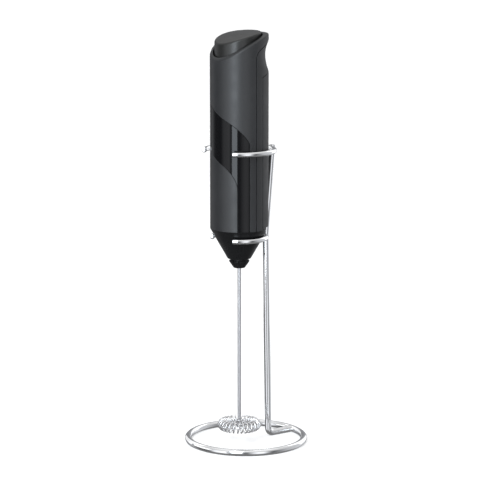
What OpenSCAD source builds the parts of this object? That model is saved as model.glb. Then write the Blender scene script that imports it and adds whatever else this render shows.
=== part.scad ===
// Battery milk frother resting in a bent-wire stand.
// Origin: centre of the base ring, on the surface it stands on. +Z is up.
// The post and the thumb groove are at +Y, the mouths of the two clips at -Y.

/* [Stand] */
// Outer diameter of the base ring
base_ring_d = 70.4; // [66:0.2:80]
// Wire diameter of the base ring and the post
base_wire_d = 3.8; // [3.2:0.1:4.2]
// Wire diameter of the two clips
clip_wire_d = 2.9; // [2.4:0.1:3.2]
// Height of the upper clip's wire
upper_clip_z = 169.3; // [160:0.1:180]
// Height of the lower clip's wire, which carries the nose cone
lower_clip_z = 119.7; // [119:0.1:120]
// Radius of the upper clip, to the middle of its wire
upper_clip_r = 19.8; // [19.2:0.1:20.6]
// Radius of the lower clip, to the middle of its wire
lower_clip_r = 15.35; // [15.2:0.05:15.6]
// Angle of the mouth in each clip
clip_mouth = 80; // [60:5:100]

/* [Handle] */
// Diameter of the handle
handle_d = 33; // [33:0.1:33.4]
// How far the handle's axis lies in front of the base ring's centre
handle_offset = 4.8; // [3:0.1:6]
// Height of the handle's lower edge, where the nose cone starts
shell_z0 = 125; // [124.8:0.1:125.2]
// Height of the curved rim, on the handle's axis
rim_z = 231.4; // [230:0.1:232]
// Radius of the rim's curve, seen from the side
rim_crown_r = 61; // [55:1:80]
// Tilt of the rim on the handle's axis
rim_tilt = 23; // [20:0.5:24]
// Height at which the back of the rim is cut level
rim_flat_z = 235.3; // [234:0.1:236]
// Wall thickness of the two shells
shell_wall = 1.8; // [1.6:0.1:1.8]
// Depth of the glossy inlay in the front shell
inlay_depth = 0.6; // [0.4:0.1:0.8]

/* [Thumb groove] */
// Height of the middle of the groove
groove_z = 223.5; // [222:0.5:225]
// Radius of the groove's section
groove_section_r = 22.5; // [20:0.5:24]
// How far in front of the handle's axis the groove is centred
groove_shift = 3; // [2:0.1:3.5]
// Smallest radius that the groove leaves about its own centre
groove_floor_r = 16.95; // [16.9:0.05:17.4]

/* [Battery door] */
// Angle between the door's edge and the shells' seam
door_edge = 17.5; // [16:0.5:20]
// Height of the top of the door's arch
door_top_z = 217; // [212:0.2:217]
// Radius of the door's arch
door_arch_r = 24; // [20:1:40]
// Height of the door's lower edge
door_z0 = 126.3; // [126:0.1:127]
// Wall thickness of the door
door_wall = 1.2; // [1:0.1:1.3]

/* [Button] */
// Radius of the button
button_r = 13.1; // [12.5:0.1:13.2]
// How far in front of the handle's axis the button is centred
button_shift = 1; // [0.5:0.1:1.2]
// Radial gap between the button and its well
button_gap = 0.4; // [0.3:0.05:0.5]
// Height of the button's crowned top, on the handle's axis
button_top_z = 235.1; // [233:0.1:236]
// Radius of the crown of the button's top
button_crown_r = 55; // [50:5:120]
// Tilt of the crown on the handle's axis
button_tilt = 12.5; // [10:0.5:15]

/* [Whisk] */
// Diameter of the whisk's shaft
shaft_d = 2; // [1.8:0.1:2]
// Height of the middle of the whisk's coil
coil_z = 10.4; // [9:0.1:12]
// Radius of the ring that the coil is wound on
coil_ring_r = 9.4; // [8:0.1:9.6]
// Radius of one turn of the coil
coil_turn_r = 2.85; // [2.4:0.05:2.9]
// Number of turns in the coil
coil_turns = 28; // [20:1:36]
// Wire diameter of the coil
coil_wire_d = 0.8; // [0.6:0.1:0.9]

/* [Hidden] */
$fn = 64;
eps = 0.01;
far = 60;
tall = 260;
over = 1;

// Stand
base_ring_r = (base_ring_d - base_wire_d) / 2;
post_gap = 0.05;
post_reach = (base_wire_d + clip_wire_d) / 2 - post_gap;
ring_z = base_wire_d / 2;
bend_swell = 0.02;
post_foot_z = (base_wire_d + bend_swell) / 2;
post_foot_y = base_ring_r - base_wire_d / 4;
post_elbow = [16, post_foot_z];
post_bend = [lower_clip_r + post_reach - handle_offset, lower_clip_z];
post_top = [upper_clip_r + post_reach - handle_offset, upper_clip_z];
post_above_clip = 1.6;
elbow_r = 3.2;
bend_r = 25;
wire_overlap = 0.1;

// Handle
handle_r = handle_d / 2;
cavity_r = handle_r - shell_wall;
collar_z = 219.5;
collar_seam_z = 225.2;
collar_seam_slope = 0.48;
seam_gap = 0.05;
well_r = button_r + button_gap;
groove_ring_r = groove_floor_r + groove_section_r;
groove_wall = 1.5;
door_gap = 0.15;
door_inner_r = handle_r - door_wall;
door_lip = 0.45;
inlay_fit = 0.03;

// Outline of the glossy inlay, seen from the front
inlay_slope = 32;
inlay_right_x = 16;
inlay_left_x = 12.7;
inlay_upper_corner_z = 182.2;
inlay_lower_corner_z = 157.9;
inlay_bend_r = 16;

// Nose
cone_end_r = 6.6;
cone_end_z = 107.65;
cone_wall = 1.8;
cone_slope = (handle_r - cone_end_r) / (shell_z0 - cone_end_z);
spigot_r = 14.5;
spigot_inner_r = 12.6;
spigot_h = 4;
relief_r = 15;
relief_z = 122.5;
relief_spread = 1;
nozzle_top_z = 106.65;
nozzle_end_z = 102.2;
nozzle_r = 5.86;
nozzle_end_r = 3.2;
nozzle_neck_r = 4.95;
nozzle_neck_top_z = 109;
nozzle_bore_r = 1.6;
nozzle_chamfer = [0.3, 0.6];
bush_r = 2.5;
bush_z = [104.4, 107.4];
running_gap = 0.04;
fit_gap = 0.02;

// Power train
shaft_r = shaft_d / 2;
motor_r = 10;
motor_z = [127, 152];
motor_wall = 0.8;
end_cap_h = 3;
end_cap_lip = 1;
end_cap_wall = 2.4;
end_cap_top = 1.2;
motor_boss_r = 3;
motor_boss_h = 1.6;
cradle_z = [131, 149];
cradle_r = 11.3;
magnet_r = [7.6, 9.15];
magnet_z = [130, 146];
magnet_edge = 35;
lower_bush_h = 2;
armature_r = 7.2;
armature_core_r = 3;
armature_z = [131, 145];
commutator_r = 2.2;
commutator_z = [146.5, 149];
motor_shaft_z = [115, 151.4];
coupling_r = 2.6;
coupling_z = [109.5, 119];
coupling_web = 0.5;

// Batteries
cell_r = 7.15;
cell_x = 7.35;
cell_body = 48.8;
cell_nub_r = 2.7;
cell_nub_h = 1.3;
tray_z = [153.5, 211.5];
tray_end = 2;
tray_r = 14.4;
tray_bore_r = 7.3;
contact_t = 0.4;
battery_spring_h = 2.8;
battery_spring_r = [4.4, 2.4];
battery_spring_turns = 3;
cell_gap = 0.05;
plate_w = 8;
strip_w = 3;
strip_t = 0.4;
strip_gap = [0.2, 0.5];
strip_inset = 0.05;
strip_z = [153, 213.5];

// Switch
switch_plate_z = [214, 216];
switch_plate_r = 13.6;
switch_w = 10;
switch_top_z = 221;
plunger_r = 2;
plunger_z0 = 218.4;
button_skirt_z = 219.8;
button_wall = 1.4;
button_ceiling_z = 226.6;
screw_x = 10.6;
screw_head_r = 1.7;
screw_shank_r = 0.9;
screw_head_h = 1.2;
screw_tip_gap = 0.2;
screw_boss_r = 2;
screw_hole_gap = 0.1;
plunger_gap = 0.08;
button_spring_r = 3.4;
button_spring_turns = 4;
spring_wire_d = 0.6;

// Whisk
whisk_hub_r = 1.7;
whisk_hub_z = [8.8, 13];
whisk_hub_floor = 1;
frame_wire_d = 1;
frame_arms = 3;
coil_steps = 9;
coil_sides = 6;

function unit(v) = v / norm(v);

// Points of a tube of radius r along a path, given a direction square to the path at each point
function tube_points(path, normals, r, sides, closed) = [
  for (i = [0 : len(path) - 1])
    let (
      last = len(path) - 1,
      before = i > 0 ? path[i - 1] : path[closed ? last : 0],
      after = i < last ? path[i + 1] : path[closed ? 0 : last],
      t = unit(after - before),
      n = unit(normals[i] - (normals[i] * t) * t),
      b = cross(t, n)
    )
    for (j = [0 : sides - 1])
      path[i] + r * (cos(360 * j / sides) * n + sin(360 * j / sides) * b)
];

// Triangles of that tube, joined into a loop or capped at both ends
function tube_faces(count, sides, closed) = concat(
  [
    for (i = [0 : count - (closed ? 1 : 2)])
      for (j = [0 : sides - 1])
        let (
          a = i * sides + j,
          b = i * sides + (j + 1) % sides,
          c = ((i + 1) % count) * sides + (j + 1) % sides,
          d = ((i + 1) % count) * sides + j
        )
        each [[a, d, c], [a, c, b]]
  ],
  closed ? [] : [
    [for (j = [0 : sides - 1]) j],
    [for (j = [0 : sides - 1]) count * sides - 1 - j]
  ]
);

module tube(path, normals, r, sides = 6, closed = false) {
  polyhedron(
    points = tube_points(path, normals, r, sides, closed),
    faces = tube_faces(len(path), sides, closed)
  );
}

// A coil spring standing on z0, from radius r0 at its foot to r1 at its top
module coil_spring(r0, r1, z0, height, turns, wire_d, steps = 12) {
  count = turns * steps;
  angles = [for (i = [0 : count]) 360 * i / steps];
  rise = height - wire_d;
  path = [
    for (i = [0 : count])
      let (r = r0 + (r1 - r0) * i / count)
      [r * cos(angles[i]), r * sin(angles[i]), z0 + wire_d / 2 + rise * i / count]
  ];
  normals = [for (a = angles) [cos(a), sin(a), 0]];
  tube(path, normals, wire_d / 2);
}

// Moves a shape from the handle's own axis to its place over the base ring
module on_handle_axis() {
  translate([0, -handle_offset, 0]) children();
}

module disc(r, z) {
  translate([0, 0, z[0]]) cylinder(r = r, h = z[1] - z[0]);
}

module tube_between(r_out, r_in, z) {
  difference() {
    disc(r_out, z);
    disc(r_in, [z[0] - over, z[1] + over]);
  }
}

// Half space behind the seam between the two shells (towards +Y)
module rear_half(z0 = 0, z1 = tall) {
  translate([-far, 0, z0]) cube([2 * far, far, z1 - z0]);
}

// Everything above a plane that rises towards the back and has the height z on the axis
module above_slant(z, slope) {
  rotate([90, 0, 90])
    translate([0, 0, -far])
      linear_extrude(height = 2 * far)
        polygon([
          [-far, z - slope * far],
          [far, z + slope * far],
          [far, z + 2 * far],
          [-far, z + 2 * far]
        ]);
}

// Everything above a large cylinder that lies across the handle, with the height z and a tilt on the axis
module above_crown(z, r, tilt) {
  difference() {
    translate([-far, -far, z - far / 2]) cube([2 * far, 2 * far, far]);
    translate([-far - over, r * sin(tilt), z - r * cos(tilt)])
      rotate([0, 90, 0])
        cylinder(r = r, h = 2 * (far + over));
  }
}

// Wedge between two angles about the axis
module sector(a0, a1, z) {
  middle = (a0 + a1) / 2;
  translate([0, 0, z[0]])
    linear_extrude(height = z[1] - z[0])
      polygon([
        [0, 0],
        far * [cos(a0), sin(a0)],
        far * [cos((a0 + middle) / 2), sin((a0 + middle) / 2)],
        far * [cos(middle), sin(middle)],
        far * [cos((middle + a1) / 2), sin((middle + a1) / 2)],
        far * [cos(a1), sin(a1)]
      ]);
}

// ---------- Stand ----------

module wire_ring(r, wire_d) {
  rotate_extrude() translate([r, 0]) circle(d = wire_d);
}

module clip_wire(r) {
  rotate([0, 0, -90 + clip_mouth / 2])
    rotate_extrude(angle = 360 - clip_mouth)
      translate([r, 0])
        circle(d = clip_wire_d);
}

// Wire bent in the YZ plane through the points, with one bend radius for each inner point.
// A bend's wire is a hair thicker, so it closes over the ends of the straight stretches.
module bent_wire(points, radii, wire_d) {
  last = len(points) - 1;
  directions = [for (i = [0 : last - 1]) unit(points[i + 1] - points[i])];
  headings = [for (d = directions) atan2(d[1], d[0])];
  turns = [for (i = [1 : last - 1]) headings[i] - headings[i - 1]];
  trims = [for (i = [1 : last - 1]) radii[i - 1] * tan(abs(turns[i - 1]) / 2)];
  rotate([90, 0, 90]) {
    for (i = [0 : last - 1]) {
      from = points[i] + (i > 0 ? trims[i - 1] - wire_overlap : 0) * directions[i];
      to = points[i + 1] - (i < last - 1 ? trims[i] - wire_overlap : 0) * directions[i];
      translate([from[0], from[1], 0])
        rotate([0, 0, headings[i]])
          rotate([0, 90, 0])
            cylinder(d = wire_d, h = norm(to - from));
    }
    for (i = [1 : last - 1]) {
      side = turns[i - 1] > 0 ? 1 : -1;
      start = points[i] - trims[i - 1] * directions[i - 1];
      centre = start + side * radii[i - 1] * [-directions[i - 1][1], directions[i - 1][0]];
      translate([centre[0], centre[1], 0])
        rotate([0, 0, headings[i - 1] - side * 90])
          rotate_extrude(angle = turns[i - 1])
            translate([radii[i - 1], 0])
              circle(d = wire_d + bend_swell);
    }
  }
}

module base_ring() {
  color("silver")
    translate([0, 0, ring_z])
      wire_ring(base_ring_r, base_wire_d);
}

module upper_clip() {
  color("silver")
    on_handle_axis()
      translate([0, 0, upper_clip_z])
        clip_wire(upper_clip_r);
}

module lower_clip() {
  color("silver")
    on_handle_axis()
      translate([0, 0, lower_clip_z])
        clip_wire(lower_clip_r);
}

// The post's foot, elbow and upright, coped where it is welded to the ring and the clips
module stand_post() {
  lean = unit(post_top - post_bend);
  color("silver")
    difference() {
      bent_wire(
        [[post_foot_y, post_foot_z], post_elbow, post_bend, post_top + post_above_clip * lean],
        [elbow_r, bend_r],
        base_wire_d
      );
      translate([0, 0, ring_z]) wire_ring(base_ring_r, base_wire_d);
      on_handle_axis() {
        translate([0, 0, upper_clip_z]) wire_ring(upper_clip_r, clip_wire_d);
        translate([0, 0, lower_clip_z]) wire_ring(lower_clip_r, clip_wire_d);
      }
    }
}

// ---------- Shells ----------

// The ring-shaped body that scoops the thumb groove out of the back of the handle
module groove_cutter(extra = 0) {
  translate([0, -groove_shift, groove_z])
    rotate_extrude()
      translate([groove_ring_r, 0])
        circle(r = groove_section_r + extra);
}

module button_well(z) {
  translate([0, -button_shift, 0]) disc(well_r, z);
}

// Outline bounded by a line that slopes down to the right, bends down and ends at the lower edge
module below_bend(corner_x, corner_z) {
  trim = inlay_bend_r * tan((90 - inlay_slope) / 2);
  line = [cos(inlay_slope), -sin(inlay_slope)];
  square_to_line = [-sin(inlay_slope), -cos(inlay_slope)];
  corner = [corner_x, corner_z];
  bend_start = corner - trim * line;
  centre = bend_start + inlay_bend_r * square_to_line;
  left = corner - 2 * far * line;
  polygon([
    left,
    bend_start,
    for (a = [90 - inlay_slope : -2 : 0]) centre + inlay_bend_r * [cos(a), sin(a)],
    [corner_x, 0],
    [left[0], 0]
  ]);
}

module inlay_outline() {
  difference() {
    below_bend(inlay_right_x, inlay_upper_corner_z);
    below_bend(inlay_left_x, inlay_lower_corner_z);
  }
}

// The inlay's outline pushed through the front of the handle
module inlay_block() {
  rotate([90, 0, 0]) linear_extrude(height = far) inlay_outline();
}

// The region that the battery door fills, grown by a gap
module door_region(gap) {
  edge = door_edge - gap * 180 / (PI * handle_r);
  intersection() {
    sector(edge, 180 - edge, [door_z0 - gap, door_top_z + over]);
    rotate([90, 0, 0])
      translate([0, 0, -far])
        linear_extrude(height = 2 * far)
          union() {
            translate([0, door_top_z - door_arch_r]) circle(r = door_arch_r + gap);
            translate([-far, 0]) square([2 * far, door_top_z - door_arch_r]);
          }
  }
}

module front_shell() {
  color([0.2, 0.21, 0.22])
    on_handle_axis()
      difference() {
        disc(handle_r, [shell_z0, rim_flat_z]);
        above_crown(rim_z, rim_crown_r, rim_tilt);
        disc(cavity_r, [shell_z0 - over, collar_z]);
        button_well([collar_z - over, rim_flat_z + over]);
        groove_cutter();
        difference() {
          rear_half();
          above_slant(collar_seam_z, collar_seam_slope);
        }
        difference() {
          inlay_block();
          disc(handle_r - inlay_depth, [0, tall]);
        }
      }
}

module gloss_inlay() {
  color([0.05, 0.05, 0.06])
    on_handle_axis()
      difference() {
        intersection() {
          disc(handle_r, [shell_z0, rim_z]);
          inlay_block();
        }
        disc(handle_r - inlay_depth + inlay_fit, [0, tall]);
        rear_half();
      }
}

module rear_shell() {
  color([0.22, 0.23, 0.24])
    on_handle_axis()
      difference() {
        intersection() {
          disc(handle_r, [shell_z0, rim_flat_z]);
          translate([0, seam_gap, 0]) rear_half();
        }
        above_slant(collar_seam_z - seam_gap, collar_seam_slope);
        groove_cutter();
        difference() {
          disc(cavity_r, [shell_z0 - over, rim_flat_z + over]);
          groove_cutter(groove_wall);
        }
        door_region(door_gap);
        sector(door_edge, 180 - door_edge, [shell_z0 - over, door_z0]);
      }
}

// The door, whose top thins to a lip behind the thumb groove
module battery_door() {
  color([0.24, 0.25, 0.26])
    on_handle_axis()
      difference() {
        intersection() {
          disc(handle_r, [door_z0, door_top_z + over]);
          door_region(0);
        }
        groove_cutter();
        difference() {
          disc(door_inner_r, [door_z0 - over, door_top_z + 2 * over]);
          groove_cutter(door_lip);
        }
      }
}

// ---------- Nose ----------

module nose_cone() {
  wall_across = cone_wall * sqrt(1 + cone_slope * cone_slope);
  inner_end_r = cone_end_r - wall_across + cone_slope * cone_wall;
  hole_r = nozzle_neck_r + fit_gap;
  hole_top_z = cone_end_z + cone_wall + (hole_r - inner_end_r) / cone_slope;
  color([0.13, 0.13, 0.14])
    on_handle_axis()
      difference() {
        rotate_extrude()
          polygon([
            [hole_r, cone_end_z],
            [cone_end_r, cone_end_z],
            [handle_r, shell_z0],
            [spigot_r, shell_z0],
            [spigot_r, shell_z0 + spigot_h],
            [spigot_inner_r, shell_z0 + spigot_h],
            [spigot_inner_r, shell_z0 - (handle_r - wall_across - spigot_inner_r) / cone_slope],
            [hole_r, hole_top_z]
          ]);
        difference() {
          sector(door_edge - relief_spread, 180 - door_edge + relief_spread, [relief_z, shell_z0 + over]);
          disc(relief_r, [0, tall]);
        }
      }
}

module nozzle() {
  color([0.1, 0.1, 0.11])
    on_handle_axis()
      difference() {
        rotate_extrude()
          polygon([
            [nozzle_bore_r, nozzle_end_z],
            [nozzle_end_r, nozzle_end_z],
            [nozzle_r, nozzle_top_z - nozzle_chamfer[1]],
            [nozzle_r - nozzle_chamfer[0], nozzle_top_z],
            [nozzle_neck_r, nozzle_top_z],
            [nozzle_neck_r, nozzle_neck_top_z],
            [nozzle_bore_r, nozzle_neck_top_z]
          ]);
        disc(bush_r + fit_gap, [bush_z[0], nozzle_neck_top_z + over]);
      }
}

module shaft_bush() {
  color("darkgoldenrod")
    on_handle_axis()
      tube_between(bush_r, shaft_r + running_gap, bush_z);
}

// ---------- Batteries ----------

module battery_tray() {
  inner_z = [tray_z[0] + tray_end, tray_z[1] - tray_end];
  color([0.3, 0.3, 0.32])
    on_handle_axis()
      difference() {
        disc(tray_r, tray_z);
        for (x = [-cell_x, cell_x]) translate([x, 0, 0]) disc(tray_bore_r, inner_z);
        rear_half(inner_z[0], inner_z[1]);
        translate([-strip_w / 2 - strip_gap[0], -tray_r - over, tray_z[0] - over])
          cube([
            strip_w + 2 * strip_gap[0],
            over + strip_t + strip_gap[1],
            tray_z[1] - tray_z[0] + 2 * over
          ]);
        for (x = [-screw_x, screw_x])
          translate([x, 0, 0])
            disc(screw_shank_r + fit_gap, [tray_z[1] - tray_end - over, tray_z[1] + over]);
      }
}

// An AA cell standing on z0 with its positive end up
module aa_cell(z0) {
  disc(cell_r, [z0, z0 + cell_body]);
  disc(cell_nub_r, [z0 + cell_body - eps, z0 + cell_body + cell_nub_h]);
}

module left_cell() {
  top = tray_z[1] - tray_end - contact_t;
  color("steelblue")
    on_handle_axis()
      translate([-cell_x, 0, top - cell_body - cell_nub_h - cell_gap])
        aa_cell(0);
}

module right_cell() {
  bottom = tray_z[0] + tray_end + contact_t;
  color("steelblue")
    on_handle_axis()
      translate([cell_x, 0, bottom + cell_body + cell_nub_h + cell_gap])
        mirror([0, 0, 1])
          aa_cell(0);
}

// A tapered spring standing on z0
module battery_spring(z0) {
  coil_spring(
    battery_spring_r[0],
    battery_spring_r[1],
    z0,
    battery_spring_h,
    battery_spring_turns,
    spring_wire_d
  );
}

module battery_springs() {
  low = tray_z[0] + tray_end;
  high = tray_z[1] - tray_end;
  color("silver")
    on_handle_axis() {
      translate([-cell_x, 0, 0])
        battery_spring(low + fit_gap);
      translate([cell_x, 0, high - fit_gap])
        mirror([0, 0, 1])
          battery_spring(0);
    }
}

module contact_plates() {
  low = tray_z[0] + tray_end;
  high = tray_z[1] - tray_end;
  color("silver")
    on_handle_axis() {
      translate([cell_x - plate_w / 2, -plate_w / 2, low])
        cube([plate_w, plate_w, contact_t]);
      translate([-cell_x - plate_w / 2, -plate_w / 2, high - contact_t])
        cube([plate_w, plate_w, contact_t]);
    }
}

// Flat conductor along the front of the tray, from the motor to the switch
module return_strip() {
  color("goldenrod")
    on_handle_axis()
      translate([-strip_w / 2, -tray_r + strip_inset, strip_z[0]])
        cube([strip_w, strip_t, strip_z[1] - strip_z[0]]);
}

// ---------- Motor ----------

module motor_can() {
  can_z = [motor_z[0], motor_z[1] - end_cap_h];
  color("silver")
    on_handle_axis()
      difference() {
        union() {
          disc(motor_r, can_z);
          disc(motor_boss_r, [can_z[0] - motor_boss_h, can_z[0] + eps]);
        }
        disc(motor_r - motor_wall, [can_z[0] + motor_wall, can_z[1] + over]);
        disc(motor_boss_r - motor_wall, [can_z[0] - motor_boss_h - over, can_z[0] + motor_wall + over]);
      }
}

module motor_end_cap() {
  cap_z = [motor_z[1] - end_cap_h, motor_z[1]];
  color("white")
    on_handle_axis()
      difference() {
        union() {
          disc(motor_r, cap_z);
          disc(motor_r - motor_wall - fit_gap, [cap_z[0] - end_cap_lip, cap_z[0] + eps]);
        }
        disc(motor_r - end_cap_wall, [cap_z[0] - end_cap_lip - over, cap_z[1] - end_cap_top]);
        disc(motor_boss_r - motor_wall, [cap_z[0], cap_z[1] + over]);
      }
}

module motor_magnets() {
  color("dimgray")
    on_handle_axis()
      intersection() {
        tube_between(magnet_r[1], magnet_r[0], magnet_z);
        union() {
          sector(magnet_edge, 180 - magnet_edge, magnet_z);
          sector(180 + magnet_edge, 360 - magnet_edge, magnet_z);
        }
      }
}

module motor_bushes() {
  low = motor_z[0] - motor_boss_h;
  high = motor_z[1];
  color("darkgoldenrod")
    on_handle_axis() {
      tube_between(motor_boss_r - motor_wall - fit_gap, shaft_r + running_gap, [low, low + lower_bush_h]);
      tube_between(motor_boss_r - motor_wall - fit_gap, shaft_r + running_gap, [high - end_cap_top, high]);
    }
}

module motor_cradle() {
  rib_w = 1.6;
  color([0.3, 0.3, 0.32])
    on_handle_axis()
      difference() {
        union() {
          disc(cradle_r, cradle_z);
          intersection() {
            disc(tray_r, cradle_z);
            union() {
              for (a = [0 : 60 : 120])
                rotate([0, 0, a])
                  translate([-far, -rib_w / 2, 0])
                    cube([2 * far, rib_w, tall]);
            }
          }
        }
        disc(motor_r + fit_gap, [0, tall]);
      }
}

// ---------- Spindle ----------

module armature() {
  slot_w = 1.6;
  color("peru")
    on_handle_axis()
      difference() {
        disc(armature_r, armature_z);
        for (a = [0 : 120 : 240])
          rotate([0, 0, a])
            translate([armature_core_r, -slot_w / 2, 0])
              cube([far, slot_w, tall]);
        disc(shaft_r + fit_gap, [0, tall]);
      }
}

module commutator() {
  color("orange")
    on_handle_axis()
      tube_between(commutator_r, shaft_r + fit_gap, commutator_z);
}

module motor_shaft() {
  color("silver")
    on_handle_axis()
      disc(shaft_r, motor_shaft_z);
}

// Sleeve with a blind bore at each end, for the motor's shaft and the whisk's
module drive_coupling() {
  middle = motor_shaft_z[0];
  color("white")
    on_handle_axis()
      difference() {
        disc(coupling_r, coupling_z);
        disc(shaft_r + fit_gap, [middle - fit_gap, coupling_z[1] + over]);
        disc(shaft_r + fit_gap, [coupling_z[0] - over, middle - coupling_web]);
      }
}

module whisk_shaft() {
  color("silver")
    on_handle_axis()
      disc(shaft_r, [whisk_hub_z[0] + whisk_hub_floor, motor_shaft_z[0] - coupling_web - fit_gap]);
}

// Hub, arms and the ring that the coil is wound on
module whisk_frame() {
  color("silver")
    on_handle_axis()
      difference() {
        union() {
          disc(whisk_hub_r, whisk_hub_z);
          translate([0, 0, coil_z]) {
            wire_ring(coil_ring_r, frame_wire_d);
            for (i = [0 : frame_arms - 1])
              rotate([0, 90, 360 * i / frame_arms])
                cylinder(d = frame_wire_d, h = coil_ring_r);
          }
        }
        disc(shaft_r + fit_gap, [whisk_hub_z[0] + whisk_hub_floor - fit_gap, whisk_hub_z[1] + over]);
      }
}

// Wire wound round and round the whisk's ring until it meets itself
module whisk_coil() {
  count = coil_turns * coil_steps;
  normals = [
    for (i = [0 : count - 1])
      let (a = 360 * i / count, w = 360 * i / coil_steps)
      [cos(w) * cos(a), cos(w) * sin(a), sin(w)]
  ];
  path = [
    for (i = [0 : count - 1])
      let (a = 360 * i / count)
      coil_ring_r * [cos(a), sin(a), 0] + coil_turn_r * normals[i]
  ];
  color("gainsboro")
    on_handle_axis()
      translate([0, 0, coil_z])
        tube(path, normals, coil_wire_d / 2, coil_sides, true);
}

// ---------- Switch and button ----------

module switch_plate() {
  color([0.3, 0.3, 0.32])
    on_handle_axis()
      difference() {
        union() {
          disc(switch_plate_r, switch_plate_z);
          for (x = [-screw_x, screw_x])
            translate([x, 0, 0])
              disc(screw_boss_r, [tray_z[1], switch_plate_z[0] + eps]);
        }
        for (x = [-screw_x, screw_x])
          translate([x, 0, 0])
            disc(screw_shank_r + screw_hole_gap, [0, tall]);
      }
}

module switch_housing() {
  floor_t = 0.5;
  color([0.16, 0.16, 0.18])
    on_handle_axis()
      difference() {
        translate([-switch_w / 2, -switch_w / 2, switch_plate_z[1]])
          cube([switch_w, switch_w, switch_top_z - switch_plate_z[1]]);
        disc(plunger_r + plunger_gap, [switch_plate_z[1] + floor_t, switch_top_z + over]);
      }
}

module plate_screws() {
  color("silver")
    on_handle_axis()
      for (x = [-screw_x, screw_x])
        translate([x, 0, 0]) {
          disc(screw_shank_r, [tray_z[1] - tray_end + screw_tip_gap, switch_plate_z[1] + eps]);
          disc(screw_head_r, [switch_plate_z[1], switch_plate_z[1] + screw_head_h]);
        }
}

module switch_plunger() {
  color("white")
    on_handle_axis()
      disc(plunger_r, [plunger_z0, button_ceiling_z]);
}

// Cap with a skirt all round and a top that is part of a large cylinder lying across it
module button() {
  color([0.27, 0.28, 0.28])
    on_handle_axis()
      difference() {
        translate([0, -button_shift, 0]) disc(button_r, [button_skirt_z, tall]);
        above_crown(button_top_z, button_crown_r, button_tilt);
        translate([0, -button_shift, 0]) disc(button_r - button_wall, [0, button_ceiling_z]);
      }
}

module button_spring() {
  height = button_ceiling_z - switch_top_z - 2 * fit_gap;
  color("silver")
    on_handle_axis()
      coil_spring(
        button_spring_r,
        button_spring_r,
        switch_top_z + fit_gap,
        height,
        button_spring_turns,
        spring_wire_d
      );
}

base_ring();
stand_post();
upper_clip();
lower_clip();
front_shell();
gloss_inlay();
rear_shell();
battery_door();
nose_cone();
nozzle();
shaft_bush();
battery_tray();
left_cell();
right_cell();
battery_springs();
contact_plates();
return_strip();
motor_can();
motor_end_cap();
motor_magnets();
motor_bushes();
motor_cradle();
armature();
commutator();
motor_shaft();
drive_coupling();
whisk_shaft();
whisk_frame();
whisk_coil();
switch_plate();
switch_housing();
plate_screws();
button();
switch_plunger();
button_spring();
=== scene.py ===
"""Looks of the milk frother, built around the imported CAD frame.

Lengths inside this script are millimetres, and turn into metres where a mesh is made.
Shapes of the handle are written about its own axis: an angle a counted from +X
towards +Y (the back), a height z, and a radius.
"""

import random
from math import acos, cos, hypot, pi, radians, sin, sqrt, tan

import bpy
import numpy as np
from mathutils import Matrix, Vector
from mathutils.geometry import delaunay_2d_cdt


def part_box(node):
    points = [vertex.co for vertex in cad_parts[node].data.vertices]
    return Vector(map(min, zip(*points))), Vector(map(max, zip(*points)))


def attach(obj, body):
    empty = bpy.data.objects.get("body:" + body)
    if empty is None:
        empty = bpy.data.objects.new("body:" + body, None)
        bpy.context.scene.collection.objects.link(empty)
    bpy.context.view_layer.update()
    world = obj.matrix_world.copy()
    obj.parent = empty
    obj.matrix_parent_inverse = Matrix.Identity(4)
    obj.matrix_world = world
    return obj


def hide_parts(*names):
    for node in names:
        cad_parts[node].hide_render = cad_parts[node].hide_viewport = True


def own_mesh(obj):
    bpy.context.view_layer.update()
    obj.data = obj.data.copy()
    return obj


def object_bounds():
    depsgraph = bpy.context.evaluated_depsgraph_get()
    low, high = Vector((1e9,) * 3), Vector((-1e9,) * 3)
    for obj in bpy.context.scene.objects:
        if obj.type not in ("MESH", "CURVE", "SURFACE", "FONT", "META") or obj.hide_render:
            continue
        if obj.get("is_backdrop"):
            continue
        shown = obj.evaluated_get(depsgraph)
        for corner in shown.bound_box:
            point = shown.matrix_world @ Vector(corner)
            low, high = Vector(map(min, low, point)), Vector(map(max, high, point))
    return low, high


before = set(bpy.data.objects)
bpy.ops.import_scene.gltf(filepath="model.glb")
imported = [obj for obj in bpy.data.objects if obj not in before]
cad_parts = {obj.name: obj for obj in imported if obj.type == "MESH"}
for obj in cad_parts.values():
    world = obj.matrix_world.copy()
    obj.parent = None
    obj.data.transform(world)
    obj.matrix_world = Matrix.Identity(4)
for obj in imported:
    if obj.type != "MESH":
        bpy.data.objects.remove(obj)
CAD_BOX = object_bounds()

MM = 0.001
SEED = 7
HAIR = 0.02  # keeps two faces from lying in one plane


def box(node):
    """A node's lowest and highest corners, in millimetres."""
    low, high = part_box(node)
    return np.array(low) / MM, np.array(high) / MM


def middle(node, axis):
    low, high = box(node)
    return (low[axis] + high[axis]) / 2


def width(node, axis):
    low, high = box(node)
    return high[axis] - low[axis]


# ----- Sizes -----

AXIS_Y = middle("shaft_bush", 1)

BASE_WIRE_R = width("base_ring", 2) / 2
BASE_R = width("base_ring", 0) / 2 - BASE_WIRE_R
CLIP_WIRE_R = width("upper_clip", 2) / 2
UPPER_CLIP_Z = middle("upper_clip", 2)
LOWER_CLIP_Z = middle("lower_clip", 2)
UPPER_CLIP_R = width("upper_clip", 0) / 2 - CLIP_WIRE_R
LOWER_CLIP_R = width("lower_clip", 0) / 2 - CLIP_WIRE_R
CLIP_LEFT_END = 230
UPPER_CLIP_RIGHT_END = -47
LOWER_CLIP_RIGHT_END = -50
CLIP_END_ROUND = 0.35
POST_FOOT_Z = BASE_WIRE_R + 0.01
POST_ELBOW_Y = 16
POST_ELBOW_R = 3.2
POST_BEND_R = 25
POST_GAP = 0.05
POST_TOP_Z = box("stand_post")[1][2]
POST_TOP_SHORT = 0.25
POST_END_ROUND = 0.45

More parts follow.
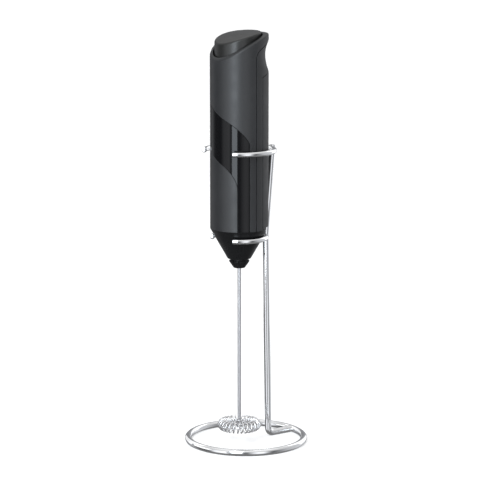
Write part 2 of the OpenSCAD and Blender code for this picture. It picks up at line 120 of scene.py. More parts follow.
WELD_WAVES = 4
WELD_SWELL = 0.035
CLIP_WELD_SIZE = (1.5, 0.75, 1.15)
CLIP_WELD_APART = 0.9
CLIP_WELD_SINK = 0.1
FOOT_WELD_SIZE = (1.0, 1.0, 1.35)
FOOT_WELD_APART = 1.7
FOOT_WELD_SINK = 0.35
FOOT_CAP_SIZE = (1.7, 0.95, 0.55)
FOOT_CAP_SINK = 0.2

HANDLE_R = width("front_shell", 0) / 2
HALF_TURN = pi * HANDLE_R  # half way round the unrolled handle
SHELL_Z0 = box("front_shell")[0][2]
SHELL_WALL = 1.8
CAVITY_R = HANDLE_R - SHELL_WALL
COLLAR_Z = 219.5
RIM_Z = 231.4
RIM_CROWN_R = 61
RIM_TILT = radians(23)
RIM_FLAT_Z = box("front_shell")[1][2]
RIM_ROUND = 1.15
RIM_BLEND = 0.3
RIM_INNER_ROUND = 0.4
RIM_COUNT = 241
COLLAR_SEAM_Z = 225.2
COLLAR_SEAM_SLOPE = 0.48
SEAM_HALF = 0.24
SEAM_CORNER = 3.5
EDGE_ROUND = 0.13

GROOVE_Z = 223.5
GROOVE_R = 22.5
GROOVE_SHIFT = 3
GROOVE_RING_R = 16.95 + GROOVE_R
GROOVE_WALL = 1.5
GROOVE_UPPER_SQUEEZE = 1.2
GROOVE_BLEND = 0.6
GROOVE_FRONT = -0.1  # sine of the angle in front of which there is no groove
PLAIN_TOP_Z = 205  # under this height the back is a plain cylinder

DOOR_EDGE = radians(17.5)
DOOR_TOP_Z = 217
DOOR_ARCH_R = 24
DOOR_Z0 = box("battery_door")[0][2]
DOOR_GAP = 0.3
DOOR_WALL = 1.2
DOOR_GROOVE_WALL = 0.45
DOOR_EDGE_ROUND = 0.2

INLAY_DEPTH = 0.6
INLAY_SLOPE = radians(32)
INLAY_BEND_R = 16
INLAY_UPPER = (16, 182.2)
INLAY_LOWER = (12.7, 157.9)
INLAY_FIT = 0.06
INLAY_SINK = 0.01
INLAY_LIFT = 0.03
INLAY_EDGE_ROUND = 0.16

BUTTON_R = width("button", 0) / 2
BUTTON_Y = middle("button", 1) - AXIS_Y
BUTTON_Z0 = box("button")[0][2]
BUTTON_WALL = 1.4
BUTTON_CEILING = 226.6
BUTTON_ROUND = 0.9
BUTTON_CROWN_R = 55
BUTTON_TILT = radians(12.5)
BUTTON_CROSS_R = 180
BUTTON_TOP_Z = 235.09
WELL_R = BUTTON_R + 0.75

SHAFT_R = width("whisk_shaft", 0) / 2
COIL_Z = middle("whisk_coil", 2)
COIL_WIRE_R = 0.4
COIL_TURN_R = width("whisk_coil", 2) / 2 - COIL_WIRE_R
COIL_RING_R = width("whisk_coil", 0) / 2 - COIL_WIRE_R - COIL_TURN_R
COIL_TURNS = 28
COIL_LEAST_SIZE = 0.965
COIL_LEAN = 0.022
FRAME_WIRE_R = 0.5
FRAME_ARMS = 3
HUB_R = 1.7

SPRING_WIRE_R = 0.3
SPRING_TURNS = 4

# Lengths of the steps into which edges are cut, and pitches of the points inside a skin
FINE = 0.6
MEDIUM = 0.8
COARSE = 1.0
FRONT_ROWS = 2.2
BACK_ROWS = 2.0
CURVED_ROWS = 0.7
LATTICE_TOP_Z = 236


# ----- Mesh tools -----
# A part of a mesh is (points, faces, normals). A piece is one or more parts.

EDGE_CLEARANCE = 0.45  # least distance of a lattice point from the edge, in pitches
LEAST_MITRE = 0.2  # keeps the inset of a very sharp corner short


def unit(v):
    return v / np.maximum(np.linalg.norm(v, axis=-1, keepdims=True), 1e-12)


def along(points, axis, wrap):
    """Central differences of a grid of points along one of its axes."""
    if wrap:
        return np.roll(points, -1, axis) - np.roll(points, 1, axis)
    padded = np.concatenate([points.take([0], axis), points, points.take([-1], axis)], axis)
    count = points.shape[axis]
    return padded.take(range(2, count + 2), axis) - padded.take(range(count), axis)


def surface(grid, wrap_v=True, poles=()):
    """Skin of a grid of points, closed along u. Its outside is u cross v.

    The two poles, each a (point, normal), close the ends of v.
    """
    nu, nv = grid.shape[:2]
    normals = unit(np.cross(along(grid, 0, True), along(grid, 1, wrap_v)))
    index = np.arange(nu * nv).reshape(nu, nv)
    faces = []
    for i in range(nu):
        k = (i + 1) % nu
        for j in range(nv if wrap_v else nv - 1):
            m = (j + 1) % nv
            faces.append((index[i, j], index[k, j], index[k, m], index[i, m]))
    points = [grid.reshape(-1, 3)]
    directions = [normals.reshape(-1, 3)]
    count = nu * nv
    for (place, direction), column in zip(poles, (0, nv - 1)):
        points.append(np.array([place], float))
        directions.append(np.array([direction], float))
        for i in range(nu):
            a, b = index[i, column], index[(i + 1) % nu, column]
            faces.append((count, b, a) if column == 0 else (count, a, b))
        count += 1
    return np.concatenate(points), faces, np.concatenate(directions)


def bend(before, corner, after, radius):
    """A round corner: its start, its end, the angle it turns by, and its point at a share of the way."""
    back, on = unit(before - corner), unit(after - corner)
    half = acos(np.clip(back @ on, -1, 1)) / 2
    reach = radius / tan(half)
    start, end = corner + back * reach, corner + on * reach
    centre = corner + unit(back + on) * radius / sin(half)
    swing = pi - 2 * half

    def point(share):
        first = sin((1 - share) * swing) / sin(swing)
        second = sin(share * swing) / sin(swing)
        return centre + first * (start - centre) + second * (end - centre)

    return start, end, swing, point


def rounded(corners, radii, steps=5):
    """A closed outline with each corner rounded to its radius. Straight corners stay as they are."""
    corners = [np.array(c, float) for c in corners]
    following = corners[1:] + corners[:1]
    out = []
    for i, (corner, after, radius) in enumerate(zip(corners, following, radii)):
        _, _, swing, point = bend(corners[i - 1], corner, after, radius)
        if radius > 0 and swing > HAIR:
            out += [point(k / steps) for k in range(steps + 1)]
        else:
            out.append(corner)
    return np.array(out)


def turned(radius, z, a):
    """Points of an outline, turned to an angle about the axis."""
    return np.stack([radius * cos(a), radius * sin(a), z], -1)


def lathe(profile, count, poles=False):
    """Turns a closed outline of (radius, z), or a function of the angle that gives one, about the axis.

    With poles the outline is open, and its two ends are closed by points on the axis.
    """
    angles = np.arange(count) * 2 * pi / count
    rows = [profile(a) if callable(profile) else profile for a in angles]
    grid = np.array([turned(row[:, 0], row[:, 1], a) for a, row in zip(angles, rows)])
    if not poles:
        return surface(grid)
    low, high = rows[0][0][1], rows[0][-1][1]
    return surface(grid, wrap_v=False, poles=[((0, 0, low), (0, 0, -1)), ((0, 0, high), (0, 0, 1))])


def tube(path, radius, sides=32, closed=False, end_round=0.3, across=None):
    """A round wire along a path. Open ends are flat with a rounded edge."""
    path = np.array(path, float)
    count = len(path)
    heading = unit(along(path, 0, closed))
    if across is None:
        side = np.cross(heading[0], (1, 0, 0) if abs(heading[0][0]) < 0.9 else (0, 1, 0))
        across = [side]
        for i in range(1, count):
            across.append(across[-1] - heading[i] * (across[-1] @ heading[i]))
        across = np.array(across)
    across = unit(across - heading * np.sum(across * heading, -1, keepdims=True))
    third = np.cross(heading, across)
    turn = np.arange(sides) * 2 * pi / sides
    cosine, sine = (f(turn)[None, :, None] for f in (np.cos, np.sin))
    spokes = cosine * across[:, None] + sine * third[:, None]
    if closed:
        return surface((path[:, None] + radius * spokes).swapaxes(0, 1))

    def end(i, inward):
        return [
            path[i] + inward * end_round * (1 - sin(lift))
            + (radius - end_round * (1 - cos(lift))) * spokes[i]
            for lift in np.linspace(pi / 2, 0, 6)
        ]

    middles = [path[i] + radius * spokes[i] for i in range(1, count - 1)]
    rings = end(0, heading[0]) + middles + end(-1, -heading[-1])[::-1]
    grid = np.array(rings).swapaxes(0, 1)
    return surface(grid, wrap_v=False, poles=[(path[0], -heading[0]), (path[-1], heading[-1])])


def inside(points, outline):
    """True for each point that lies inside a closed outline."""
    x, y = points[:, 0], points[:, 1]
    hit = np.zeros(len(points), bool)
    for (x0, y0), (x1, y1) in zip(outline, np.roll(outline, -1, 0)):
        if y0 == y1:
            continue
        crosses = (y0 > y) != (y1 > y)
        hit ^= crosses & (x < (x1 - x0) * (y - y0) / (y1 - y0) + x0)
    return hit


def fill(outline, columns, rows):
    """Triangles inside an outline, over a lattice of columns and rows. Gives flat points and faces."""
    pitch = columns[1] - columns[0]
    u, z = np.meshgrid(columns, rows)
    u = u + pitch / 2 * (np.arange(len(rows)) % 2)[:, None]
    lattice = np.stack([u.ravel(), z.ravel()], -1)
    lattice = lattice[inside(lattice, outline)]
    if len(lattice):
        gap = np.min(np.linalg.norm(lattice[:, None] - outline[None], axis=-1), axis=1)
        lattice = lattice[gap > EDGE_CLEARANCE * pitch]
    points = [Vector(p) for p in np.concatenate([outline, lattice])]
    whole, tolerance = list(range(len(outline))), 1e-7
    result = delaunay_2d_cdt(points, [], [whole], 1, tolerance, False)
    points, faces = np.array([tuple(p) for p in result[0]]), np.array(result[2])
    faces = faces[inside(points[faces].mean(1), outline)]
    return points, [tuple(int(k) for k in f) for f in faces]


def split(points, spacing=MEDIUM):
    """Straight runs between the points, cut into short steps. The last point is left out."""
    out = []
    for (x0, y0), (x1, y1) in zip(points, points[1:]):
        steps = max(1, round(hypot(x1 - x0, y1 - y0) / spacing))
        out += [(x0 + (x1 - x0) * k / steps, y0 + (y1 - y0) * k / steps) for k in range(steps)]
    return out


def wall(*points, step=COARSE):
    """A run of a panel's outline with a wall under it, along straight lines."""
    return "wall", split(points, step)


def on_skin(flat, radius):
    """Points over the unrolled handle (u, z), at the radius that a function of (angle, z) gives."""
    a, z = flat[:, 0] / HANDLE_R, flat[:, 1]
    r = radius(a, z)
    return np.stack([r * np.cos(a), r * np.sin(a), z], -1)


def skin_frame(flat, radius):
    """Unit directions along u, along z and out of the skin at each point."""
    step = 0.01
    du = on_skin(flat + (step, 0), radius) - on_skin(flat - (step, 0), radius)
    dz = on_skin(flat + (0, step), radius) - on_skin(flat - (0, step), radius)
    du, dz = unit(du), unit(dz)
    return du, dz, unit(np.cross(du, dz))


def panel(runs, outer, inner, columns, rows, edge_round=EDGE_ROUND, step=None):
    """A shell over the unrolled handle, with rounded edges and square walls down to its inner skin.

    runs is a list of (kind, points), anticlockwise from outside. The kind of a run says what
    its edge is: "wall" goes down to the inner skin, "step" to the skin that step gives, and
    "open" is left for a neighbour to close.
    """
    outline = np.array([p for _, points in runs for p in points], float)
    kinds = [kind for kind, points in runs for _ in points]
    count = len(outline)
    ahead = unit(np.roll(outline, -1, 0) - outline)
    out = np.stack([ahead[:, 1], -ahead[:, 0]], -1)
    shift = np.zeros((count, 2))
    side = np.zeros((count, 2))
    for i in range(count):
        before, after = kinds[i - 1] != "open", kinds[i] != "open"
        if before and after:
            both = out[i - 1] + out[i]
            shift[i] = both / max(1 + out[i - 1] @ out[i], LEAST_MITRE)
            side[i] = unit(both)
        elif before:
            shift[i] = ahead[i] / (ahead[i] @ out[i - 1])
            side[i] = out[i - 1]
        elif after:
            shift[i] = -ahead[i - 1] / (-ahead[i - 1] @ out[i])
            side[i] = out[i]
    du, dz, normal = skin_frame(outline, outer)
    side = side[:, :1] * du + side[:, 1:] * dz
    points, normals, faces = [], [], []

    def ring(flat, radius, direction):
        points.append(on_skin(flat, radius))
        normals.append(direction)
        return sum(len(p) for p in points[:-1])

    steps = 4
    starts = []
    for k in range(steps + 1):
        lift = pi / 2 * k / steps
        inset, depth = edge_round * (1 - cos(lift)), edge_round * (1 - sin(lift))
        direction = unit(cos(lift) * side + sin(lift) * normal)
        starts.append(ring(outline - shift * inset, lambda a, z: outer(a, z) - depth, direction))
    foot = {"wall": ring(outline, inner, side)}
    if step:
        foot["step"] = ring(outline, step, side)
    for i in range(count):
        j = (i + 1) % count
        if kinds[i] == "open":
            continue
        bottom = foot[kinds[i]]
        faces.append((bottom + i, bottom + j, starts[0] + j, starts[0] + i))
        for low, high in zip(starts, starts[1:]):
            faces.append((low + i, low + j, high + j, high + i))
    for edge, radius, flip in ((outline - shift * edge_round, outer, False), (outline, inner, True)):
        flat, triangles = fill(edge, columns, rows)
        start = sum(len(p) for p in points)
        _, _, direction = skin_frame(flat, radius)
        points.append(on_skin(flat, radius))
        normals.append(-direction if flip else direction)
        for f in triangles:
            p, q, r = (flat[k] for k in f[:3])
            turns_left = (q[0] - p[0]) * (r[1] - p[1]) - (q[1] - p[1]) * (r[0] - p[0]) > 0
            face = tuple(start + k for k in f)
            faces.append(face if turns_left != flip else face[::-1])
    return np.concatenate(points), faces, np.concatenate(normals)


def piece(name, parts, material, body, nodes=(), about_handle=False):
    """One visible piece: it rides on its body and stands for the CAD nodes that it replaces."""
    points, faces, normals = [], [], []
    for p, f, n in parts:
        start = sum(len(q) for q in points)
        points.append(p)
        normals.append(n)
        faces += [tuple(int(k) + start for k in face) for face in f]
    points = np.concatenate(points)
    if about_handle:
        points = points + (0, AXIS_Y, 0)
    used = sorted({k for face in faces for k in face})
    number = {k: i for i, k in enumerate(used)}
    mesh = bpy.data.meshes.new(name)
    mesh.from_pydata((points[used] * MM).tolist(), [], [[number[k] for k in f] for f in faces])
    mesh.shade_smooth()
    mesh.normals_split_custom_set_from_vertices(np.concatenate(normals)[used].tolist())
    mesh.materials.append(material)
    obj = bpy.data.objects.new(name, mesh)
    bpy.context.collection.objects.link(obj)
    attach(obj, body)
    if nodes:
        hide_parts(*nodes)
    return obj


def moulding(node, parts, material, body="handle"):
    """A piece about the handle's axis that stands for one CAD node."""
    piece(node + "_moulding", parts, material, body, [node], True)


# ----- Materials -----

# Scales of noise are in features per metre. Tones are factors on a colour.
TONE_SCALE = 45
POLISH_SCALE = 160
METAL_TONE_SCALE = 70
PLASTIC_TONES = (0.92, 1.08)
METAL_TONES = (0.95, 1.03)
LEAST_ROUGHNESS = 0.02
NOISE_LOW, NOISE_HIGH = 0.3, 0.7


def connect(tree, node, **inputs):
    """Gives a node's inputs their values or the outputs that feed them, with underscores for spaces."""
    sockets = {s.name.lower().replace(" ", "_"): s for s in node.inputs if s.enabled}
    for name, value in inputs.items():
        if isinstance(value, bpy.types.NodeSocket):
            tree.links.new(value, sockets[name])
        else:
            sockets[name].default_value = value
    return node


def add_node(tree, kind, **inputs):
    return connect(tree, tree.nodes.new("ShaderNode" + kind), **inputs)


def add_noise(tree, scale, detail=3.0, stretch=None):
    """Noise in the object's own coordinates. A stretch under 1 draws it out along that axis."""
    where = add_node(tree, "TexCoord").outputs["Object"]
    if stretch:
        where = add_node(tree, "Mapping", vector=where, scale=stretch).outputs["Vector"]
    return add_node(tree, "TexNoise", vector=where, scale=scale, detail=detail).outputs["Fac"]


def add_range(tree, noise, low, high):
    """Spreads the middle of a noise over a range."""
    node = add_node(
        tree, "MapRange", value=noise, from_min=NOISE_LOW, from_max=NOISE_HIGH, to_min=low, to_max=high
    )
    return node.outputs["Result"]


def add_bump(tree, height, distance):
    return add_node(tree, "Bump", height=height, distance=distance, strength=1).outputs["Normal"]


def add_mix(tree, factor, first, second):
    """A mix of two colours. Either may come from another node."""
    mix = add_node(tree, "Mix")
    mix.data_type = "RGBA"
    return connect(tree, mix, factor=factor, a=first, b=second).outputs["Result"]


def new_material(name, colour, tone_scale, tones):
    """A material whose colour is a little darker in some places and lighter in others."""
    material = bpy.data.materials.new(name)
    material.use_nodes = True
    tree = material.node_tree
    share = add_range(tree, add_noise(tree, tone_scale), 0, 1)
    dark, light = ((*(min(1, c * factor) for c in colour), 1) for factor in tones)
    shader = connect(tree, tree.nodes["Principled BSDF"], base_color=add_mix(tree, share, dark, light))
    return material, tree, shader


def plastic(name, colour, roughness, grain=0.012, grain_scale=2600, spread=0.05, specular=0.5):
    """Moulded plastic: a fine eroded grain, slight unevenness of tone and of polish."""
    material, tree, shader = new_material(name, colour, TONE_SCALE, PLASTIC_TONES)
    polish = add_noise(tree, POLISH_SCALE, detail=4)
    pits = add_noise(tree, grain_scale, detail=2)
    connect(
        tree, shader,
        roughness=add_range(tree, polish, roughness - spread, roughness + spread),
        normal=add_bump(tree, pits, grain * MM),
        specular_ior_level=specular,
    )
    return material


def metal(name, colour, roughness, spread=0.03, draw=(1, 1, 1), draw_scale=900, draw_depth=0.002):
    """Bare metal: faint drawing or polishing marks and uneven polish."""
    material, tree, shader = new_material(name, colour, METAL_TONE_SCALE, METAL_TONES)
    marks = add_noise(tree, draw_scale, stretch=draw)
    least = max(LEAST_ROUGHNESS, roughness - spread)
    connect(
        tree, shader, metallic=1,
        roughness=add_range(tree, marks, least, roughness + spread),
        normal=add_bump(tree, marks, draw_depth * MM),
    )
    return material


CHROME = metal("polished_steel", (0.80, 0.805, 0.815), 0.10, draw_scale=500, draw_depth=0.0006)
WELD = metal("weld_bead", (0.72, 0.715, 0.71), 0.2, spread=0.05, draw_scale=1500, draw_depth=0.02)
SHAFT_STEEL = metal(
    "drawn_steel", (0.56, 0.56, 0.575), 0.36, spread=0.04,
    draw=(1, 1, 0.04), draw_scale=5000, draw_depth=0.004,
)
WHISK_STEEL = metal(
    "whisk_steel", (0.78, 0.78, 0.79), 0.12, spread=0.04, draw_scale=2500, draw_depth=0.003
)
PLATED_STEEL = metal(
    "plated_steel", (0.62, 0.61, 0.57), 0.3, spread=0.08,
    draw=(1, 1, 0.1), draw_scale=1200, draw_depth=0.003,
)
BRASS = metal(
    "brass", (0.70, 0.52, 0.24), 0.3, spread=0.08, draw=(1, 1, 0.2), draw_scale=1000, draw_depth=0.003
)
COPPER = metal("copper", (0.72, 0.36, 0.20), 0.35, spread=0.08, draw=(1, 1, 6), draw_depth=0.01)
FRONT_PLASTIC = plastic("front_plastic", (0.0168, 0.0174, 0.0187), 0.44)
REAR_PLASTIC = plastic("rear_plastic", (0.0150, 0.0156, 0.0166), 0.44)
DOOR_PLASTIC = plastic("door_plastic", (0.0150, 0.0156, 0.0166), 0.46)
GLOSS_PLASTIC = plastic(
    "gloss_plastic", (0.004, 0.004, 0.0045), 0.06, grain=0.0012, grain_scale=700, spread=0.02, specular=0.225
)
NOSE_PLASTIC = plastic("nose_plastic", (0.0062, 0.0062, 0.0067), 0.30, grain=0.006, specular=0.14)
BUTTON_PLASTIC = plastic("button_plastic", (0.0135, 0.0135, 0.0128), 0.34, grain=0.016, grain_scale=1700)
INNER_PLASTIC = plastic("inner_plastic", (0.05, 0.05, 0.055), 0.5)
WHITE_PLASTIC = plastic("white_plastic", (0.75, 0.74, 0.70), 0.45)
CELL_JACKET = plastic("cell_jacket", (0.05, 0.16, 0.32), 0.25, grain=0.002, grain_scale=300)
FERRITE = plastic("ferrite", (0.05, 0.05, 0.052), 0.6, grain=0.03, grain_scale=900)
FLOOR_PAINT = plastic("floor_paint", (0.86, 0.86, 0.86), 0.7, grain=0.0, grain_scale=40)


# ----- Stand -----

def arc(centre, radius, start, end, z, count):
    """Points on a level arc, with its angles in degrees."""
    angles = np.radians(np.linspace(start, end, count))
    flat = np.stack([np.cos(angles), np.sin(angles)], -1) * radius + centre
    return np.concatenate([flat, np.full((count, 1), z)], -1)


def hoop(radius, z, wire_radius, count, sides):
    """A closed ring of wire around the stand's axis."""
    path = arc((0, 0), radius, 0, 360, z, count + 1)[:-1]
    return tube(path, wire_radius, sides, closed=True, across=path * (1, 1, 0))


def bent_path(corners, radii, straight_step=3.0, bend_step=0.4):
    """Points (y, z) along a bent wire, with a round bend at each inner corner."""
    corners = [np.array(c, float) for c in corners]
    previous = corners[0]
    out = []
    for corner, after, radius in zip(corners[1:-1], corners[2:], radii):
        start, end, swing, point = bend(previous, corner, after, radius)
        out += split([tuple(previous), tuple(start)], straight_step)
        count = max(6, round(swing * radius / bend_step))
        out += [tuple(point(k / count)) for k in range(count)]
        previous = end
    out += split([tuple(previous), tuple(corners[-1])], straight_step)
    out.append(tuple(corners[-1]))
    return np.array(out)


def bead(centre, size, seed, count=28):
    """A small uneven blob of weld metal."""
    rng = np.random.default_rng(seed)
    waves = rng.uniform(-1, 1, (WELD_WAVES, 3)) * 3
    shifts = rng.uniform(0, 6, WELD_WAVES)
    around = np.arange(count * 2) * pi / count
    up = np.linspace(0, pi, count + 1)[1:-1]
    x, y = (np.outer(turn, np.sin(up)) for turn in (np.cos(around), np.sin(around)))
    grid = np.stack([x, y, np.tile(-np.cos(up), (count * 2, 1))], -1)
    swell = 1 + WELD_SWELL * sum(np.sin(grid @ w + s) for w, s in zip(waves, shifts))
    grid = grid * swell[..., None]
    size, centre = np.array(size), np.array(centre)
    low, high = grid[:, 0].mean(0), grid[:, -1].mean(0)
    low, high = (end * (0, 0, 1) * size + centre for end in (low, high))
    return surface(grid * size + centre, wrap_v=False, poles=[(low, (0, 0, -1)), (high, (0, 0, 1))])


def stand_piece(name, parts, material, nodes=()):
    piece(name, parts, material, "stand", nodes)


def make_stand():
    ring = hoop(BASE_R, BASE_WIRE_R, BASE_WIRE_R, count=288, sides=40)
    stand_piece("base_ring_wire", [ring], CHROME, ["base_ring"])
    clips = (
        ("upper_clip", UPPER_CLIP_R, UPPER_CLIP_Z, UPPER_CLIP_RIGHT_END),
        ("lower_clip", LOWER_CLIP_R, LOWER_CLIP_Z, LOWER_CLIP_RIGHT_END),
    )
    for name, radius, z, right_end in clips:
        path = arc((0, AXIS_Y), radius, right_end, CLIP_LEFT_END, z, count=141)
        stand_piece(name + "_wire", [tube(path, CLIP_WIRE_R, end_round=CLIP_END_ROUND)], CHROME, [name])
    reach = BASE_WIRE_R + CLIP_WIRE_R - POST_GAP + AXIS_Y
    middle_bend = np.array((LOWER_CLIP_R + reach, LOWER_CLIP_Z))
    top = np.array((UPPER_CLIP_R + reach, UPPER_CLIP_Z))
    lean = unit(top - middle_bend)
    top = top + lean * (POST_TOP_Z - UPPER_CLIP_Z - POST_TOP_SHORT)
    corners = [(BASE_R - BASE_WIRE_R / 2, POST_FOOT_Z), (POST_ELBOW_Y, POST_FOOT_Z), middle_bend, top]
    flat = bent_path(corners, [POST_ELBOW_R, POST_BEND_R])
    path = np.concatenate([np.zeros((len(flat), 1)), flat], -1)
    post_wire = tube(path, BASE_WIRE_R, sides=40, end_round=POST_END_ROUND)
    stand_piece("post_wire", [post_wire], CHROME, ["stand_post"])
    for k, (name, radius, z, _) in enumerate(clips):
        y = AXIS_Y + radius + CLIP_WIRE_R - CLIP_WELD_SINK
        parts = [
            bead((side * CLIP_WELD_APART, y, z + CLIP_WELD_SINK), CLIP_WELD_SIZE, SEED + 3 * k + side)
            for side in (-1, 1)
        ]
        stand_piece(name.replace("clip", "weld"), parts, WELD)
    foot_y = sqrt(BASE_R**2 - 1) - BASE_WIRE_R
    parts = [
        bead((side * FOOT_WELD_APART, foot_y + FOOT_WELD_SINK, BASE_WIRE_R), FOOT_WELD_SIZE, SEED + 20 + side)
        for side in (-1, 1)
    ]
    cap = (0, foot_y + FOOT_CAP_SINK, BASE_WIRE_R + FOOT_WELD_SIZE[2])
    parts.append(bead(cap, FOOT_CAP_SIZE, SEED + 30))
    stand_piece("foot_weld", parts, WELD)


# ----- Handle -----

def smooth_min(a, b, blend):
    mix = np.clip(0.5 + 0.5 * (b - a) / blend, 0, 1)
    return b * (1 - mix) + a * mix - blend * mix * (1 - mix)


def groove_radius(a, z, extra=0.0):
    """Distance from the handle's axis to the thumb groove's surface."""
    height = np.where(z > GROOVE_Z, (z - GROOVE_Z) * GROOVE_UPPER_SQUEEZE, z - GROOVE_Z)
    height = np.clip(height / (GROOVE_R + extra), -0.999, 0.999)
    reach = GROOVE_RING_R - (GROOVE_R + extra) * np.sqrt(1 - height**2)
    across = np.maximum(reach**2 - (GROOVE_SHIFT * np.cos(a)) ** 2, 0)
    radius = -GROOVE_SHIFT * np.sin(a) + np.sqrt(across)
    return np.where(np.sin(a) > GROOVE_FRONT, radius, 2 * HANDLE_R)


def outer_radius(a, z):
    return smooth_min(np.full_like(z, HANDLE_R), groove_radius(a, z), GROOVE_BLEND)


def well_radius(a):
    """Distance from the handle's axis to the button's well."""
    return BUTTON_Y * np.sin(a) + np.sqrt(WELL_R**2 - (BUTTON_Y * np.cos(a)) ** 2)


def front_inner(a, z):
    return np.where(z < COLLAR_Z, CAVITY_R, well_radius(a))


def rear_inner(a, z):
    return np.minimum(CAVITY_R, groove_radius(a, z, GROOVE_WALL))


def door_inner(a, z):
    return np.minimum(HANDLE_R - DOOR_WALL, outer_radius(a, z) - DOOR_GROOVE_WALL)


def inlay_floor(a, z):
    return np.full_like(z, HANDLE_R - INLAY_DEPTH)


def inlay_skin(a, z):
    return np.full_like(z, HANDLE_R - INLAY_SINK)


def inlay_back(a, z):
    return np.full_like(z, HANDLE_R - INLAY_DEPTH + INLAY_LIFT)


def crown(y, z, radius, tilt):
    """Height of a large cylinder lying across the handle: z and a tilt are its values on the axis."""
    return z - radius * cos(tilt) + np.sqrt(radius**2 - (y - radius * sin(tilt)) ** 2)


def rim_height(radius, a):
    """Height of the curved top, which is level at the back."""
    arch = crown(radius * np.sin(a), RIM_Z, RIM_CROWN_R, RIM_TILT)
    return smooth_min(arch, np.full_like(arch, RIM_FLAT_Z - HAIR), RIM_BLEND)


def seam_height(a):
    """The seam under the collar: it leaves the upright seams in a round corner."""
    slant = COLLAR_SEAM_Z + COLLAR_SEAM_SLOPE * HANDLE_R * np.sin(a)
    reach = min(a % pi, pi - a % pi) * HANDLE_R
    short = max(0.0, 1 - reach / SEAM_CORNER)
    return slant - SEAM_CORNER * (1 - sqrt(1 - short * short))


def seam_run(grow):
    """Half of the seam under the collar, from an upright seam to the back: (u, z), moved off it by grow."""
    lift = np.linspace(0, pi / 2, 13)
    reach = np.linspace(SEAM_CORNER, HALF_TURN / 2, 40)[1:]
    reach = np.concatenate([SEAM_CORNER * (1 - np.cos(lift)), reach])
    line = np.array([(u, seam_height(u / HANDLE_R)) for u in reach])
    ahead = unit(np.gradient(line, axis=0))
    ahead[0], ahead[-1] = (0, 1), (1, 0)
    return line + np.stack([-ahead[:, 1], ahead[:, 0]], -1) * grow


def mirrored(run, seam):
    """The same run of points on the other side of the handle, where the upright seam lies at u = seam."""
    return [(seam - u, z) for u, z in run]


def sweep_curve(corner, grow=0.0):
    """One edge of the glossy sweep, unrolled: down from the left seam, round a bend, to the lower edge."""
    x1, z1 = corner
    line = np.array((cos(INLAY_SLOPE), -sin(INLAY_SLOPE)))
    out = np.array((sin(INLAY_SLOPE), cos(INLAY_SLOPE)))
    half = (pi / 2 - INLAY_SLOPE) / 2
    bend_start = np.array((x1, z1)) - line * INLAY_BEND_R * tan(half)
    centre = bend_start - out * INLAY_BEND_R
    radius = INLAY_BEND_R + grow
    x1 += grow
    first = acos(np.clip((bend_start + out * grow)[0] / HANDLE_R, -1, 1))
    angles = np.linspace(pi, first, 64)[:-1]
    x = HANDLE_R * np.cos(angles)
    start = bend_start + out * grow
    points = [
        (-a * HANDLE_R, start[1] + (start[0] - p) * tan(INLAY_SLOPE)) for a, p in zip(angles, x)
    ]
    for t in np.linspace(pi / 2 - INLAY_SLOPE, 0, 24):
        p = centre + radius * np.array((cos(t), sin(t)))
        points.append((-HANDLE_R * acos(p[0] / HANDLE_R), p[1]))
    u_end = -HANDLE_R * acos(x1 / HANDLE_R)
    return points + split([(u_end, points[-1][1]), (u_end, SHELL_Z0)], COARSE)[1:] + [(u_end, SHELL_Z0)]


def angle_run(start, end, height, count):
    """Points (u, z) over a run of angles, in degrees, at the height that a function of the angle gives."""
    angles = np.radians(np.linspace(start, end, count))
    return [(a * HANDLE_R, float(height(a))) for a in angles]


def rim_foot(a):
    return float(rim_height(np.array(HANDLE_R), a)) - RIM_ROUND


def make_front_shell():
    left, right = -HALF_TURN + SEAM_HALF, -SEAM_HALF
    upper, lower = sweep_curve(INLAY_UPPER), sweep_curve(INLAY_LOWER)
    upper[0], lower[0] = (left, upper[0][1]), (left, lower[0][1])
    seam_z = COLLAR_SEAM_Z - SEAM_CORNER
    to_back = [tuple(p) for p in seam_run(SEAM_HALF)]
    from_back = mirrored(to_back, -HALF_TURN)[::-1]
    rim = angle_run(90, -270, rim_foot, RIM_COUNT)
    columns = np.arange(-1.5 * HALF_TURN, 0.5 * HALF_TURN, MEDIUM)
    plain = np.arange(SHELL_Z0 + 1, COLLAR_Z - 2, FRONT_ROWS)
    collar = np.arange(COLLAR_Z + 1, LATTICE_TOP_Z, CURVED_ROWS)
    rows = np.concatenate([plain, [COLLAR_Z - FINE, COLLAR_Z + HAIR], collar])
    main = [
        ("step", upper[:-1]),
        wall(upper[-1], (right, SHELL_Z0), step=MEDIUM),
        wall((right, SHELL_Z0), (right, COLLAR_Z - HAIR)),
        ("wall", [(right, COLLAR_Z - HAIR)]),
        wall((right, COLLAR_Z + HAIR), (right, seam_z)),
        ("wall", to_back[:-1]),
        ("open", split([to_back[-1], rim[0]], FINE)),
        ("open", rim[:-1]),
        ("open", split([rim[-1], from_back[0]], FINE)),
        ("wall", from_back[:-1]),
        wall((left, seam_z), (left, COLLAR_Z + HAIR)),
        ("wall", [(left, COLLAR_Z + HAIR)]),
        wall((left, COLLAR_Z - HAIR), upper[0]),
    ]
    corner = [
        wall((left, SHELL_Z0), lower[-1], step=MEDIUM),
        ("step", lower[:0:-1]),
        wall(lower[0], (left, SHELL_Z0)),
    ]
    floor = [
        wall(lower[-1], upper[-1], step=MEDIUM),
        ("open", upper[:0:-1]),
        wall(upper[0], lower[0]),
        ("open", lower[:-1]),
    ]
    parts = [
        panel(main, outer_radius, front_inner, columns, rows, step=inlay_floor),
        panel(corner, outer_radius, front_inner, columns, rows, step=inlay_floor),
        panel(floor, inlay_floor, front_inner, columns, rows, edge_round=0.0),
        rim_part(),
    ]
    moulding("front_shell", parts, FRONT_PLASTIC)


